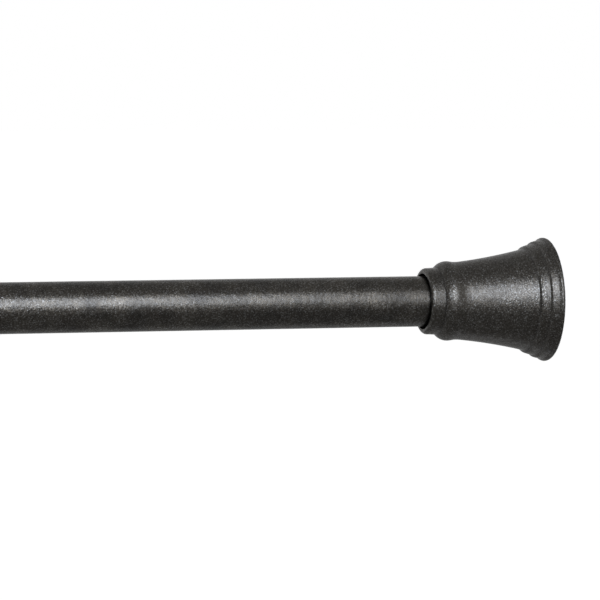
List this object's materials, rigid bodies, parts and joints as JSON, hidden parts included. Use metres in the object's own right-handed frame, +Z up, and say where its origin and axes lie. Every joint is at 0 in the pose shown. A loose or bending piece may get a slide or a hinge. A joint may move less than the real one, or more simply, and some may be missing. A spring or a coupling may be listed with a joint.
{
  "type": "spring tension rod",
  "caption": "Round telescoping rod with flared end caps and rubber pads; a twist lock sets its length and an inner spring presses it between two walls.",
  "frame": {"origin": "middle of the wall face of the fixed end's rubber pad", "axes": "+X along the rod, out of the fixed pad into its wall; +Z up; the rod reaches along -X to the sprung end's pad"},
  "size_m": [0.6096, 0.0626, 0.0626],
  "materials": {
    "tube_paint": "dark bronze-grey coat with fine silvery flakes, half gloss",
    "cap_paint": "moulded resin with the same dark flaked coat as the tubes",
    "dark_plastic": "plain moulded, dark grey",
    "pad_rubber": "soft black rubber, dull",
    "pale_nylon": "natural nylon",
    "plated_steel": "bright zinc plate"
  },
  "bodies": {
    "outer": {"outer_tube": "tube_paint", "tube_bush": "dark_plastic", "right_finial": "cap_paint", "right_end_plug": "dark_plastic", "right_finial_screw": "plated_steel", "right_wall_pad": "pad_rubber"},
    "lock": {"lock_sleeve": "pale_nylon"},
    "cone": {"cone_nut": "pale_nylon"},
    "spindle": {"lock_spindle": "plated_steel", "stud_clip": "plated_steel", "seat_clip": "plated_steel", "spring_seat": "pale_nylon", "compression_spring": "plated_steel"},
    "inner": {"inner_tube": "tube_paint", "spindle_guide": "pale_nylon", "spring_stop": "pale_nylon", "left_finial": "cap_paint", "left_end_plug": "dark_plastic", "left_finial_screw": "plated_steel", "left_wall_pad": "pad_rubber"}
  },
  "joints": [
    {"name": "tube_slide", "type": "slide", "parent": "outer", "child": "lock", "axis": [-1, 0, 0], "range_m": [0, 0.3048]},
    {"name": "lock_twist", "type": "hinge", "parent": "lock", "child": "spindle", "pos_m": [-0.08, 0, 0], "axis": [1, 0, 0], "range_deg": [0, 180]},
    {"name": "cone_draw", "type": "slide", "parent": "lock", "child": "cone", "axis": [-1, 0, 0], "range_m": [0, 0.00063]},
    {"name": "spring_press", "type": "slide", "parent": "spindle", "child": "inner", "axis": [1, 0, 0], "range_m": [0, 0.03], "stiffness_N_per_m": 1960, "springref_m": -0.006, "deforming": ["compression_spring"]}
  ],
  "couplings": [
    {"joint": "cone_draw", "follows": "lock_twist", "m_per_rad": 0.00019894}
  ]
}
